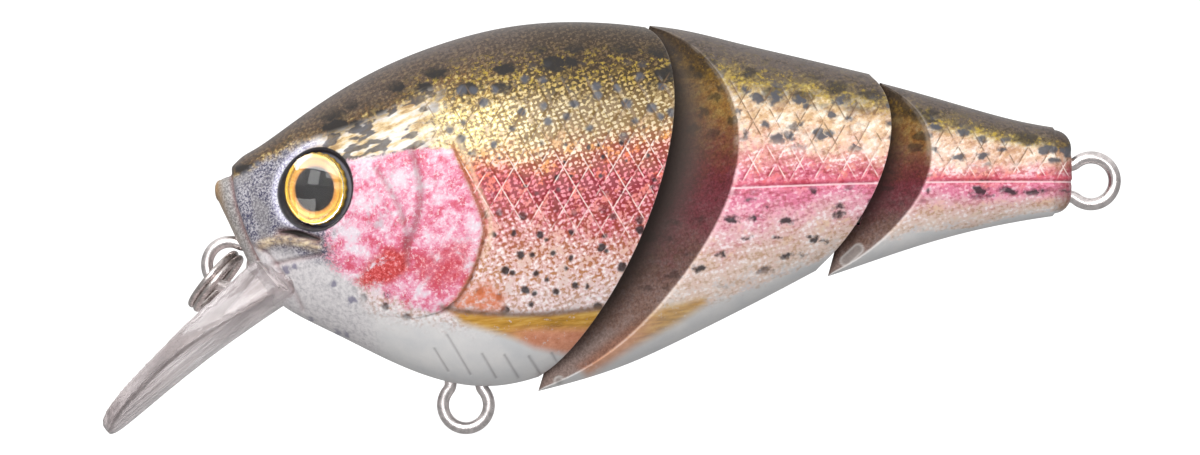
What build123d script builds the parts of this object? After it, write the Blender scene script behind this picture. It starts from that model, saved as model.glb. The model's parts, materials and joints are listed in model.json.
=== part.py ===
from build123d import *
from math import sin, cos, tan, radians, sqrt
import os

os.makedirs("parts", exist_ok=True)

# Three-section jointed crankbait. Millimetres. The origin is the centre of the line tie eye,
# +X runs to the tail, +Z is up and the fish's left side faces -Y.

# ---- body outlines: X, lowest Z, highest Z, half width -------------------------------------
HEAD_STATIONS = [
    (-0.8, 6.1, 7.9, 1.4),
    (-0.2, 4.8, 8.5, 2.2),
    (0.8, 2.6, 9.8, 3.1),
    (2.2, -0.4, 10.8, 3.85),
    (4.2, -3.1, 12.1, 4.6),
    (7.0, -5.0, 14.1, 5.6),
    (10.5, -6.7, 16.4, 6.8),
    (15.0, -8.9, 18.8, 7.85),
    (20.0, -10.8, 20.75, 8.5),
    (25.0, -11.4, 22.1, 8.8),
    (30.0, -10.3, 22.75, 8.7),
    (35.0, -8.1, 22.75, 8.35),
    (40.0, -5.9, 22.2, 7.8),
    (44.5, -3.8, 21.2, 7.2),
]
MID_STATIONS = [
    (28.0, -12.2, 22.7, 8.5),
    (33.0, -10.9, 22.8, 8.3),
    (38.0, -9.2, 22.6, 7.9),
    (43.0, -6.9, 22.0, 7.3),
    (48.0, -4.4, 20.8, 6.7),
    (53.0, -1.8, 19.6, 6.0),
    (58.0, 0.9, 18.4, 5.3),
    (63.0, 3.6, 17.2, 4.6),
]
TAIL_STATIONS = [
    (52.0, -2.5, 19.5, 5.5),
    (58.0, -0.55, 17.9, 4.95),
    (64.0, 1.5, 16.3, 4.3),
    (70.0, 3.2, 14.55, 3.65),
    (75.0, 4.2, 13.25, 3.05),
    (79.0, 4.8, 12.6, 2.6),
]
TAIL_END_ROUND = 1.7
WALL = 1.3

# ---- hinges --------------------------------------------------------------------------------
PIN_PLAY = 0.05  # running clearance of a pin in its tabs
TAB_THICKNESS = 1.6
TAB_RIM = 0.65  # tab material around the pin
TAB_WIDTH = 2.0
TAB_SLOT_PLAY = 0.25
TAB_FLANGE_WIDTH = 4.0
TAB_FLANGE_LENGTH = 1.4

# Each hinge: a point on the pin axis and the axis's backward lean; the wedge's nose radius and
# half angle; the groove's clearance round the nose and half angle; the pin's radius and ends, and
# the tab places, along the pin. The front joint swings 22 degrees to each side, the rear one 28.
FRONT_HINGE = dict(
    x=36.35, z=5.6, lean=17.0, nose=1.6, wedge=25.0, gap=0.35, groove=48.0,
    pin_radius=0.6, pin=(-16.8, 14.6), tabs=(8.6, -8.2),
)
REAR_HINGE = dict(
    x=60.2, z=8.2, lean=15.0, nose=1.2, wedge=27.0, gap=1.2, groove=46.0,
    pin_radius=0.5, pin=(-8.4, 7.2), tabs=(3.9, -3.5),
)

# ---- wire eyes and split ring --------------------------------------------------------------
WIRE_RADIUS = 0.575
EYE_RADIUS = 2.175  # to the middle of the wire
NECK_RADIUS = 0.9  # bend from the loop into each leg
FOOT_BEND = 0.8
WIRE_PLAY = 0.02
BELLY_EYE = (22.5, -13.2)
TAIL_EYE = (80.85, 7.85)
RING_RADIUS = 3.1  # to the middle of the split ring's wire
RING_WIRE_RADIUS = 0.33
RING_LEAN = 50.0  # the ring hangs over the lip, this far below level
RING_HOOK = 1.05  # from the eye centre to the ring wire that passes through the eye

# ---- lip -----------------------------------------------------------------------------------
LIP_ROOT = (4.8, -1.3)
LIP_SLOPE = 40.0
LIP_OUTLINE = [(0.0, 7.2), (5.0, 8.1), (10.0, 8.4), (15.0, 7.6), (19.0, 5.9), (21.3, 2.8)]
LIP_LENGTH = 21.9
LIP_CUP_RADIUS = 30.0  # the blade is cupped, its edges raised toward the nose
LIP_DROP = 0.5
LIP_THICKNESS = [(-0.6, 3.7), (4.5, 2.6), (10.0, 1.7), (16.0, 1.35), (22.5, 1.15)]
COLLAR_HALF_WIDTH = 4.4
COLLAR_HALF_HEIGHT = 2.0
COLLAR_DROP = 1.0
COLLAR_LENGTH = 1.8
TONGUE_LENGTH = 5.0
TONGUE_THICKNESS = 2.0
TONGUE_HALF_WIDTH = 3.6

# ---- eyes ----------------------------------------------------------------------------------
EYE_CENTRE = (9.2, 7.05)
EYE_DISC_RADIUS = 3.2
EYE_DISC_THICKNESS = 0.3
EYE_DOME_HEIGHT = 1.15
EYE_SOCKET_RADIUS = 3.7
EYE_DEPTH = 1.0  # the disc's seat lies this far under the cheek, along the eye's axis
EYE_TURN = 24.0  # the eye's axis turns this far from straight sideways toward the nose
EYE_CHEEK = 6.15  # half width of the head at the eye

# ---- ballast -------------------------------------------------------------------------------
HEAD_BALLAST = [("head_ballast_front", 15.2, -4.4, 2.3), ("head_ballast_rear", 20.3, -4.1, 2.3)]
MID_BALLAST = ("mid_ballast", 43.2, 0.4, 1.7)


def body_loft(stations, inset=0.0):
    """Solid through elliptical sections, drawn in on every side by inset."""
    sections = []
    for x, low, high, half in stations:
        tall = (high - low) / 2 - inset
        wide = half - inset
        plane = Plane(origin=(x, 0, (low + high) / 2), x_dir=(0, 1, 0), z_dir=(1, 0, 0))
        sections.append(plane * Ellipse(wide, tall))
    return loft(sections)


def hinge_plane(hinge):
    """Local X runs back from the pin, local Y across the body and local Z along the pin."""
    lean = radians(hinge["lean"])
    return Plane(
        origin=(hinge["x"], 0, hinge["z"]),
        x_dir=(cos(lean), 0, -sin(lean)),
        z_dir=(sin(lean), 0, cos(lean)),
    )


def flare(radius, angle, reach=40.0):
    """Outline open to the rear: a round nose about the pin and two straight flanks."""
    a = radians(angle)
    touch = (-radius * sin(a), radius * cos(a))
    far = (touch[0] + reach * cos(a), touch[1] + reach * sin(a))
    with BuildSketch() as sketch:
        with BuildLine():
            ThreePointArc((touch[0], -touch[1]), (-radius, 0), touch)
            Line(touch, far)
            Line(far, (far[0], -far[1]))
            Line((far[0], -far[1]), (touch[0], -touch[1]))
        make_face()
    return sketch.sketch


def flare_prism(hinge, radius, angle):
    return hinge_plane(hinge) * extrude(flare(radius, angle), 40, both=True)


def at(plane, shape, *offset):
    return plane * (Pos(*offset) * shape)


def side_box(x0, x1, z0, z1, half_width):
    centre = Pos((x0 + x1) / 2, 0, (z0 + z1) / 2)
    return centre * Box(x1 - x0, 2 * half_width, z1 - z0)


# ---- wire forms ----------------------------------------------------------------------------
def hanger_path(plane, half_gap, leg, feet):
    """Open loop about the plane's origin, its two legs along local +X, each with a turned foot.

    feet holds how far each end turns out from its leg, the -Y leg first; 0 leaves it straight.
    """
    span = EYE_RADIUS + NECK_RADIUS
    neck = Vector(sqrt(span**2 - (half_gap + NECK_RADIUS) ** 2), half_gap + NECK_RADIUS)
    touch = neck * (EYE_RADIUS / span)
    toward = (Vector(0, -1) + (touch - neck).normalized()).normalized()
    bend = neck + toward * NECK_RADIUS

    def leg_lines(side, foot):
        y = side * half_gap
        ThreePointArc((touch.X, side * touch.Y), (bend.X, side * bend.Y), (neck.X, y))
        if foot == 0:
            Line((neck.X, y), (leg, y))
            return
        Line((neck.X, y), (leg - FOOT_BEND, y))
        knee = FOOT_BEND * (1 - sqrt(0.5))
        ThreePointArc((leg - FOOT_BEND, y), (leg - knee, y + side * knee), (leg, y + side * FOOT_BEND))
        Line((leg, y + side * FOOT_BEND), (leg, y + side * foot))

    with BuildLine(plane) as path:
        leg_lines(-1, feet[0])
        ThreePointArc((touch.X, -touch.Y), (-EYE_RADIUS, 0), (touch.X, touch.Y))
        leg_lines(1, feet[1])
    return path.wire()


def wire_along(path, radius):
    start = Plane(origin=path @ 0, z_dir=path % 0)
    return sweep(start * Circle(radius), path=path)


def hanger_plane(centre, turn):
    """The loop lies in the XZ plane, its legs turn degrees up from +X."""
    a = radians(turn)
    return Plane(origin=(centre[0], 0, centre[1]), x_dir=(cos(a), 0, sin(a)), z_dir=(0, -1, 0))


HANGERS = {
    "line_tie_wire": (hanger_plane((0, 0), 32), 0.75, 6.8, (0, 2.0)),
    "belly_hanger_wire": (hanger_plane(BELLY_EYE, 90), 1.45, 5.6, (2.0, 2.0)),
    "tail_hanger_wire": (hanger_plane(TAIL_EYE, 180), 1.45, 6.2, (1.7, 1.7)),
}


def hanger(name, play=0.0):
    return wire_along(hanger_path(*HANGERS[name]), WIRE_RADIUS + play)


def split_ring():
    """Two turns of wire side by side, hung through the line tie eye."""
    lean = radians(RING_LEAN)
    along = Vector(-cos(lean), 0, -sin(lean))
    plane = Plane(
        origin=along * (RING_RADIUS - RING_HOOK), x_dir=(0, 1, 0), z_dir=(-sin(lean), 0, cos(lean))
    )
    turn = Torus(RING_RADIUS, RING_WIRE_RADIUS)
    half_pitch = RING_WIRE_RADIUS - 0.015
    return plane * (Pos(0, 0, half_pitch) * turn + Pos(0, 0, -half_pitch) * turn)


# ---- lip -----------------------------------------------------------------------------------
def lip_plane():
    slope = radians(LIP_SLOPE)
    return Plane(
        origin=(LIP_ROOT[0], 0, LIP_ROOT[1]),
        x_dir=(-cos(slope), 0, -sin(slope)),
        z_dir=(-sin(slope), 0, cos(slope)),
    )


def tongue(play=0.0):
    box = Box(
        TONGUE_LENGTH + play,
        2 * (TONGUE_HALF_WIDTH + play),
        TONGUE_THICKNESS + 2 * play,
        align=(Align.MAX, Align.CENTER, Align.CENTER),
    )
    return lip_plane() * box


def lip_collar(play=0.0):
    """Oval seat behind the blade, a little proud of the chin on both sides."""
    oval = Ellipse(COLLAR_HALF_HEIGHT + play, COLLAR_HALF_WIDTH + play)
    plate = extrude(oval, COLLAR_LENGTH + play)
    return at(lip_plane(), Rot(0, -90, 0) * plate, 0, 0, -COLLAR_DROP)


def lip_section(distance, thick):
    """Crescent across the blade, at a distance from its root."""
    half = 12.0
    rise = LIP_CUP_RADIUS - sqrt(LIP_CUP_RADIUS**2 - half**2)
    with BuildSketch(Plane(origin=(distance, 0, -LIP_DROP), x_dir=(0, 1, 0), z_dir=(1, 0, 0))) as cut:
        with BuildLine():
            low, high = -thick / 2, thick / 2
            ThreePointArc((-half, rise + low), (0, low), (half, rise + low))
            Line((half, rise + low), (half, rise + high))
            ThreePointArc((half, rise + high), (0, high), (-half, rise + high))
            Line((-half, rise + high), (-half, rise + low))
        make_face()
    return cut.sketch


def lip_blade():
    cupped = loft([lip_section(*place) for place in LIP_THICKNESS])
    start = LIP_THICKNESS[0][0]
    right = [(s, -w) for s, w in LIP_OUTLINE]
    left = [(s, w) for s, w in reversed(LIP_OUTLINE)]
    with BuildSketch() as plan:
        with BuildLine():
            Spline(*right)
            ThreePointArc(right[-1], (LIP_LENGTH, 0), left[0])
            Spline(*left)
            Line(left[-1], (start, left[-1][1]))
            Line((start, left[-1][1]), (start, right[0][1]))
            Line((start, right[0][1]), right[0])
        make_face()
    return lip_plane() * (cupped & extrude(plan.sketch, 8, both=True))


# ---- eyes ----------------------------------------------------------------------------------
def eye_plane(side):
    """Local Z points out of the cheek on that side, -1 for the left and 1 for the right."""
    turn = radians(EYE_TURN)
    return Plane(
        origin=(EYE_CENTRE[0], side * EYE_CHEEK, EYE_CENTRE[1]),
        x_dir=(cos(turn), side * sin(turn), 0),
        z_dir=(-sin(turn), side * cos(turn), 0),
    )


def eye_dome():
    base = EYE_DISC_RADIUS
    ball = (base**2 + EYE_DOME_HEIGHT**2) / (2 * EYE_DOME_HEIGHT)
    cap = Pos(0, 0, EYE_DOME_HEIGHT - ball) * Sphere(ball)
    return cap & (Pos(0, 0, 1.5) * Box(8, 8, 3))


# ---- shells --------------------------------------------------------------------------------
def tab(hinge, height, play=0.0):
    """Flat eye tab: a round end on the pin, a shank through the groove wall and a flange."""
    back = hinge["nose"] + hinge["gap"] + WALL
    hole = hinge["pin_radius"] + PIN_PLAY
    thick = TAB_THICKNESS + 2 * play
    wide = TAB_WIDTH + 2 * play
    shank = Pos(-back / 2, 0, 0) * Box(back, wide, thick)
    flange = Box(TAB_FLANGE_LENGTH + play, TAB_FLANGE_WIDTH + 2 * play, thick)
    root = Pos(-back - (TAB_FLANGE_LENGTH + play) / 2, 0, 0) * flange
    shape = shank + root + Cylinder(hole + TAB_RIM, thick)
    if play == 0:
        shape -= Cylinder(hole, thick + 1)
    return at(hinge_plane(hinge), shape, 0, 0, height)


def tab_block(hinge, height):
    """Solid left around a tab's root inside the front section of a hinge."""
    reach = hinge["nose"] + hinge["gap"] + WALL + TAB_FLANGE_LENGTH + 1.2
    block = Box(reach, TAB_FLANGE_WIDTH + 2.4, TAB_THICKNESS + 2.4)
    return at(hinge_plane(hinge), block, -reach / 2, 0, height)


def tab_slot(hinge, height):
    """Slot across the wedge nose that a tab turns in."""
    depth = hinge["pin_radius"] + PIN_PLAY + TAB_RIM + TAB_SLOT_PLAY
    cut = Box(depth + 6, 20, TAB_THICKNESS + 2 * TAB_SLOT_PLAY)
    return at(hinge_plane(hinge), cut, (depth - 6) / 2, 0, height)


def pin(hinge):
    low, high = hinge["pin"]
    return at(hinge_plane(hinge), Cylinder(hinge["pin_radius"], high - low), 0, 0, (low + high) / 2)


def pin_hole(hinge):
    """Open at the belly, blind at the top."""
    low, high = hinge["pin"][0] - 6, hinge["pin"][1]
    hole = Cylinder(hinge["pin_radius"] + 0.01, high - low)
    return at(hinge_plane(hinge), hole, 0, 0, (low + high) / 2)


def nose_core(hinge, depth):
    """Everything in the wedge nose up to depth behind the pin, which stays solid."""
    return at(hinge_plane(hinge), Box(depth + 6, 30, 60), (depth - 6) / 2, 0, 0)


def wedge(hinge, inset=0.0):
    return flare_prism(hinge, hinge["nose"] - inset, hinge["wedge"])


def groove(hinge, inset=0.0):
    return flare_prism(hinge, hinge["nose"] + hinge["gap"] + inset, hinge["groove"])


def bosses(places):
    shape = Part()
    for x, z in places:
        shape += Pos(x, 0, z) * (Rot(90, 0, 0) * Cylinder(1.6, 40))
    return shape


def halves(body, places):
    """Split at Y = 0. The left half has a peg at each place and the right half its socket."""
    left = body & (Pos(30, -20, 0) * Box(160, 40, 120))
    right = body & (Pos(30, 20, 0) * Box(160, 40, 120))
    for x, z in places:
        left += Pos(x, 0.7, z) * (Rot(90, 0, 0) * Cylinder(0.75, 1.4))
        right -= Pos(x, 0.8, z) * (Rot(90, 0, 0) * Cylinder(0.8, 1.6))
    return left, right


def ball(x, z, radius):
    return Pos(x, 0, z) * Sphere(radius)


def ball_block(x, z, radius):
    size = 2 * radius + 1.8
    return Pos(x, 0, z) * Box(size, size, size)


HEAD_BOSSES = [(14.5, 13.0), (27.5, 15.5), (27.0, 1.5)]
MID_BOSSES = [(46.5, 15.5), (49.5, 6.0)]
TAIL_BOSSES = [(67.3, 8.6)]

parts = {}

# ---- front section
head = body_loft(HEAD_STATIONS) - groove(FRONT_HINGE)
room = body_loft(HEAD_STATIONS[3:], WALL) - groove(FRONT_HINGE, WALL)
room -= side_box(-3, 10.8, -12, 5.4, 12)
room -= side_box(18.2, 26.8, -13, -6.4, 12)
room -= bosses(HEAD_BOSSES)
for height in FRONT_HINGE["tabs"]:
    room -= tab_block(FRONT_HINGE, height)
for name, x, z, radius in HEAD_BALLAST:
    room -= ball_block(x, z, radius)
    head -= ball(x, z, radius + 0.03)
    parts[name] = ball(x, z, radius)
for side in (-1, 1):
    room -= at(eye_plane(side), Cylinder(EYE_SOCKET_RADIUS + 1, 8), 0, 0, 1.7)
    head -= at(eye_plane(side), Cylinder(EYE_SOCKET_RADIUS, 4), 0, 0, 2 - EYE_DEPTH)
head -= room
for height in FRONT_HINGE["tabs"]:
    head -= tab(FRONT_HINGE, height, 0.02)
head -= tongue(0.03)
head -= lip_collar(0.02)
head -= lip_blade()
head -= hanger("line_tie_wire", WIRE_PLAY)
head -= hanger("belly_hanger_wire", WIRE_PLAY)
parts["head_shell_left"], parts["head_shell_right"] = halves(head, HEAD_BOSSES)
parts["diving_lip"] = lip_blade() + lip_collar() + tongue()
parts["line_tie_wire"] = hanger("line_tie_wire")
parts["belly_hanger_wire"] = hanger("belly_hanger_wire")
for side, word in ((-1, "left"), (1, "right")):
    disc = Cylinder(EYE_DISC_RADIUS, EYE_DISC_THICKNESS)
    seat = eye_plane(side)
    parts[word + "_eye_disc"] = at(seat, disc, 0, 0, EYE_DISC_THICKNESS / 2 - EYE_DEPTH)
    parts[word + "_eye_dome"] = at(seat, eye_dome(), 0, 0, EYE_DISC_THICKNESS - EYE_DEPTH)
for height, word in zip(FRONT_HINGE["tabs"], ("upper", "lower")):
    parts["front_hinge_tab_" + word] = tab(FRONT_HINGE, height)

# ---- middle section
mid = (body_loft(MID_STATIONS) & wedge(FRONT_HINGE)) - groove(REAR_HINGE)
room = body_loft(MID_STATIONS, WALL) & wedge(FRONT_HINGE, WALL)
room -= groove(REAR_HINGE, WALL)
room -= nose_core(FRONT_HINGE, 3.6)
room -= bosses(MID_BOSSES)
for height in REAR_HINGE["tabs"]:
    room -= tab_block(REAR_HINGE, height)
name, x, z, radius = MID_BALLAST
room -= ball_block(x, z, radius)
mid -= ball(x, z, radius + 0.03)
parts[name] = ball(x, z, radius)
mid -= room
for height in FRONT_HINGE["tabs"]:
    mid -= tab_slot(FRONT_HINGE, height)
for height in REAR_HINGE["tabs"]:
    mid -= tab(REAR_HINGE, height, 0.02)
mid -= pin_hole(FRONT_HINGE)
parts["mid_shell_left"], parts["mid_shell_right"] = halves(mid, MID_BOSSES)
parts["front_hinge_pin"] = pin(FRONT_HINGE)
for height, word in zip(REAR_HINGE["tabs"], ("upper", "lower")):
    parts["rear_hinge_tab_" + word] = tab(REAR_HINGE, height)

# ---- tail section
tail = body_loft(TAIL_STATIONS)
tail = fillet(tail.faces().sort_by(Axis.X)[-1].edges(), TAIL_END_ROUND)
tail = tail & wedge(REAR_HINGE)
room = body_loft(TAIL_STATIONS[:5], WALL) & wedge(REAR_HINGE, 1.0)
room -= nose_core(REAR_HINGE, 3.2)
room -= side_box(71.0, 90, -10, 30, 12)
room -= bosses(TAIL_BOSSES)
tail -= room
for height in REAR_HINGE["tabs"]:
    tail -= tab_slot(REAR_HINGE, height)
tail -= pin_hole(REAR_HINGE)
tail -= hanger("tail_hanger_wire", WIRE_PLAY)
parts["tail_shell_left"], parts["tail_shell_right"] = halves(tail, TAIL_BOSSES)
parts["rear_hinge_pin"] = pin(REAR_HINGE)
parts["tail_hanger_wire"] = hanger("tail_hanger_wire")

parts["split_ring"] = split_ring()

for name, shape in parts.items():
    solids = shape.solids()
    print(name, len(solids), "solid(s), volume", round(sum(s.volume for s in solids), 2))
    piece = solids[0] if len(solids) == 1 else Compound(children=solids)
    piece.label = name
    export_step(piece, "parts/" + name + ".step")
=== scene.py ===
import contextlib
import json
import math

import bmesh
import bpy
import numpy as np
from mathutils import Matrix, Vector


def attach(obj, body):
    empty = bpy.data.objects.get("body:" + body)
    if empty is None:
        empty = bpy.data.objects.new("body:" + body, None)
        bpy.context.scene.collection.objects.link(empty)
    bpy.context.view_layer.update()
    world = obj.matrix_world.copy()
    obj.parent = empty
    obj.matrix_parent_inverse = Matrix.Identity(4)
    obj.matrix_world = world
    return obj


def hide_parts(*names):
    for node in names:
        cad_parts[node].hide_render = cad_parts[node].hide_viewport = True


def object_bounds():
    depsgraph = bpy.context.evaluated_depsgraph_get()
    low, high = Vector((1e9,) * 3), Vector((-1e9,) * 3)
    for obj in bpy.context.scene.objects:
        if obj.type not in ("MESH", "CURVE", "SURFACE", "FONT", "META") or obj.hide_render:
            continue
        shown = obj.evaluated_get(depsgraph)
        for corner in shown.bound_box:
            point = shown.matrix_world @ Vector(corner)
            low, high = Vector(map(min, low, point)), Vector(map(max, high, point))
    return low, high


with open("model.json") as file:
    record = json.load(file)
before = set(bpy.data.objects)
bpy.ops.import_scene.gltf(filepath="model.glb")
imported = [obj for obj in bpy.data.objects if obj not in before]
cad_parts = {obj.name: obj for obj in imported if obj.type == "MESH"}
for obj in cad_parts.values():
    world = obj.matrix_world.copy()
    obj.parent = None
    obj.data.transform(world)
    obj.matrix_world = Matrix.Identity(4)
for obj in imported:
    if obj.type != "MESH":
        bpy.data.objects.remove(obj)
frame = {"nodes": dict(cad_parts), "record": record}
CAD_BOX = [list(corner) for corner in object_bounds()]
NODES = frame["nodes"]
JOINTS = {joint["name"]: joint for joint in frame["record"]["behaviour"]["joints"]}
SIDES = ((-1, "left"), (1, "right"))
MM = 0.001

# ---- body form, in millimetres: x, lowest z, highest z and half width of each elliptical section
STATIONS = {
    "head": [
        (-0.8, 6.1, 7.9, 1.4), (-0.2, 4.8, 8.5, 2.2), (0.8, 2.6, 9.8, 3.1), (2.2, -0.4, 10.8, 3.85),
        (4.2, -3.1, 12.1, 4.6), (7, -5, 14.1, 5.6), (10.5, -6.7, 16.4, 6.8), (15, -8.9, 18.8, 7.85),
        (20, -10.8, 20.75, 8.5), (25, -11.4, 22.1, 8.8), (30, -10.3, 22.75, 8.7),
        (35, -8.1, 22.75, 8.35), (40, -5.9, 22.2, 7.8), (44.5, -3.8, 21.2, 7.2)],
    "mid": [
        (28, -12.2, 22.7, 8.5), (33, -10.9, 22.8, 8.3), (38, -9.2, 22.6, 7.9), (43, -6.9, 22, 7.3),
        (48, -4.4, 20.8, 6.7), (53, -1.8, 19.6, 6), (58, 0.9, 18.4, 5.3), (63, 3.6, 17.2, 4.6)],
    "tail": [
        (52, -2.5, 19.5, 5.5), (58, -0.55, 17.9, 4.95), (64, 1.5, 16.3, 4.3), (70, 3.2, 14.55, 3.65),
        (75, 4.2, 13.25, 3.05), (79, 4.8, 12.6, 2.6)],
}
# Hinge, radius of the round nose, opening angle, and between which x its edge on the skin lies.
HEAD_GROOVE = ("front_hinge", 1.95, 48, (20, 47.5))
MID_WEDGE = ("front_hinge", 1.6, 25, (28, 56))
MID_GROOVE = ("rear_hinge", 2.4, 46, (50, 68))
TAIL_WEDGE = ("rear_hinge", 1.2, 27, (53, 76))
# Hinge, depth past its pin and places along it of the slots in a wedge nose.
TAB_SLOTS = {"mid": ("front_hinge", 1.55, (8.6, -8.2)), "tail": ("rear_hinge", 1.45, (3.9, -3.5))}
SLOT_HALF_HEIGHT = 1.05
NOSE_X, NOSE_BULGE = -0.8, 0.35
TAIL_X, TAIL_END_ROUND = 79, 1.7
EYE_CENTRE = (9.2, 6.15, 7.05)
EYE_TURN = math.radians(24)
SOCKET_FLOOR = -1.0
SHARP = 0.8  # angle between faces, in radians
EDGE_HALVINGS, EDGE_SMOOTHINGS = 44, 12
NOSE_RINGS, TAIL_RINGS = 10, 14

# The side layout: landmarks on the flank are placed where they show from this distance.
SIDE_DISTANCE = 280.0
SIDE_TARGET = (35.16, 3.52)
SIDE_TURN = math.radians(4)
VIEW_WIDTH = 112.68


def natural_spline(knots, values):
    """A natural cubic spline through the knots, as a function of arrays."""
    knots, values = np.asarray(knots, float), np.asarray(values, float)
    count = len(knots)
    gaps = np.diff(knots)
    slopes = np.diff(values) / gaps
    matrix = np.eye(count)
    right = np.zeros(count)
    for i in range(1, count - 1):
        matrix[i, i - 1:i + 2] = gaps[i - 1], 2 * (gaps[i - 1] + gaps[i]), gaps[i]
        right[i] = 6 * (slopes[i] - slopes[i - 1])
    bend = np.linalg.solve(matrix, right)

    def evaluate(x):
        i = np.clip(np.searchsorted(knots, x) - 1, 0, count - 2)
        gap = gaps[i]
        ahead, behind = (knots[i + 1] - x) / gap, (x - knots[i]) / gap
        curve = ((ahead**3 - ahead) * bend[i] + (behind**3 - behind) * bend[i + 1]) * gap**2 / 6
        return ahead * values[i] + behind * values[i + 1] + curve

    return evaluate


def smoothstep(low, high, value):
    """0 at low and 1 at high, smooth between; low above high turns it round."""
    t = np.clip((value - low) / (high - low), 0, 1)
    return t * t * (3 - 2 * t)


def bell(value, width):
    return np.exp(-((value / width) ** 2))


def smooth_line(points, steps=8):
    """A smooth curve through a few layout points."""
    pts = np.array(points, float)
    if len(pts) < 3:
        return pts
    keys = np.arange(len(pts))
    fine = np.linspace(0, len(pts) - 1, steps * (len(pts) - 1) + 1)
    return np.stack([natural_spline(keys, pts[:, k])(fine) for k in (0, 1)], 1)


def line_distance(a, b, points):
    best = np.full(a.shape, np.inf)
    for (x0, y0), (x1, y1) in zip(points[:-1], points[1:]):
        dx, dy = x1 - x0, y1 - y0
        t = np.clip(((a - x0) * dx + (b - y0) * dy) / (dx * dx + dy * dy + 1e-12), 0, 1)
        best = np.minimum(best, np.hypot(a - x0 - t * dx, b - y0 - t * dy))
    return best


def inside(a, b, points):
    hit = np.zeros(a.shape, bool)
    for (x0, y0), (x1, y1) in zip(points, np.roll(points, -1, axis=0)):
        if y0 != y1:
            hit ^= ((y0 > b) != (y1 > b)) & (a < (x1 - x0) * (b - y0) / (y1 - y0) + x0)
    return hit


def region(a, b, points, soft):
    """1 inside the closed outline and 0 outside, over a soft edge."""
    outline = np.array(points, float)
    distance = line_distance(a, b, np.vstack([outline, outline[:1]]))
    return smoothstep(-soft, soft, np.where(inside(a, b, outline), distance, -distance))


def stroke(a, b, points, width):
    return bell(line_distance(a, b, smooth_line(points)), width)


def side_layout(x, y, z):
    """Where a point of the near flank shows from the side, in millimetres at the middle plane."""
    dx, out = x - SIDE_TARGET[0], np.abs(y)
    c, s = math.cos(SIDE_TURN), math.sin(SIDE_TURN)
    scale = SIDE_DISTANCE / (SIDE_DISTANCE - (dx * s + out * c))
    return SIDE_TARGET[0] + (dx * c - out * s) * scale, SIDE_TARGET[1] + (z - SIDE_TARGET[1]) * scale


# ---- hinge shapes
def hinge_frame(name):
    joint = JOINTS[name]
    lean = math.atan2(joint["axis"][0], joint["axis"][2])
    return joint["pos_m"][0] / MM, joint["pos_m"][2] / MM, math.cos(lean), math.sin(lean)


def to_hinge(name, x, y, z):
    px, pz, c, s = hinge_frame(name)
    return (x - px) * c - (z - pz) * s, np.abs(y), (x - px) * s + (z - pz) * c


def from_hinge(name, u, v, w):
    px, pz, c, s = hinge_frame(name)
    return px + u * c + w * s, v, pz - u * s + w * c


def flare(spec, x, y, z):
    """Negative inside the opening wedge with a round nose on the hinge line."""
    name, radius, angle, _ = spec
    u, v, _ = to_hinge(name, x, y, z)
    c, s = math.cos(math.radians(angle)), math.sin(math.radians(angle))
    return np.where(u * c + v * s > 0, v * c - u * s - radius, np.hypot(u, v) - radius)


class Form:
    """The lofted skin of one body section."""

    def __init__(self, stations):
        table = np.array(stations, float)
        self.low, self.high, self.half = (natural_spline(table[:, 0], table[:, k]) for k in (1, 2, 3))

    def point(self, x, theta):
        middle = (self.low(x) + self.high(x)) / 2
        tall = (self.high(x) - self.low(x)) / 2
        return x, -self.half(x) * np.cos(theta), middle + tall * np.sin(theta)

    def edge(self, spec, theta):
        """x where the skin crosses the flare, found by halving."""
        near, far = (np.full(theta.shape, float(x)) for x in spec[3])
        first = np.sign(flare(spec, *self.point(near, theta)))
        for _ in range(EDGE_HALVINGS):
            mid = (near + far) / 2
            same = np.sign(flare(spec, *self.point(mid, theta))) == first
            near, far = np.where(same, mid, near), np.where(same, far, mid)
        return (near + far) / 2


EDGE_STEPS = 7
EDGE_STEP = 0.07
WALL_LENGTH = 6.0


def spread(length, count):
    """Shares of a run, from 0 to 1, close together at its start."""
    fine = np.arange(EDGE_STEPS) * EDGE_STEP / length
    return np.concatenate([fine, np.linspace(fine[-1], 1, count - EDGE_STEPS + 1)[1:]])


def flare_wall(spec, edge, count):
    """Columns down the flare's wall, from the edge on the skin to the round nose at y 0."""
    name, radius, angle, _ = spec
    c, s = math.cos(math.radians(angle)), math.sin(math.radians(angle))
    u, v, w = to_hinge(name, *edge)
    tangent_u, tangent_v = -radius * s, radius * c
    flat = v > tangent_v
    straight = np.where(flat, np.hypot(u - tangent_u, v - tangent_v), 0)
    start_turn = np.where(flat, math.atan2(tangent_v, -tangent_u), np.arctan2(v, -u))
    total = straight + radius * start_turn
    columns = []
    for share in spread(WALL_LENGTH, count)[1:]:
        gone = share * total
        along = np.clip(gone / np.maximum(straight, 1e-9), 0, 1)
        turn = np.maximum(start_turn - np.maximum(gone - straight, 0) / radius, 0)
        on_flat = gone < straight
        cu = np.where(on_flat, u + (tangent_u - u) * along, -radius * np.cos(turn))
        cv = np.where(on_flat, v + (tangent_v - v) * along, radius * np.sin(turn))
        x, side, z = from_hinge(name, cu, cv, w)
        columns.append((x, -side, z, gone))
    return columns


# ---- landmarks on the side layout
GILL_EDGE = [(21.3, 11.3), (22.3, 9.3), (23.05, 7.4), (24.1, 4.8), (24.3, 3), (23.8, 0.9), (22.9, -1.4),
             (21.7, -3.3), (20.2, -4.4), (18, -5)]
GILL_LINE = smooth_line(GILL_EDGE)
GILL_COVER = np.array([(9, 9), (15, 12.6)] + GILL_EDGE + [(12, -4.5), (6, 0)])
CHEEK = [(10.4, 9.6), (12.6, 10), (15, 10.4), (18.5, 11), (21.4, 10.9)] + GILL_EDGE[2:8] + [
    (20.2, -4.6), (16, -4.4), (12.8, -2.8), (9, -0.8), (7.6, 1.2), (8.6, 3.4), (9.2, 5)]
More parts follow.
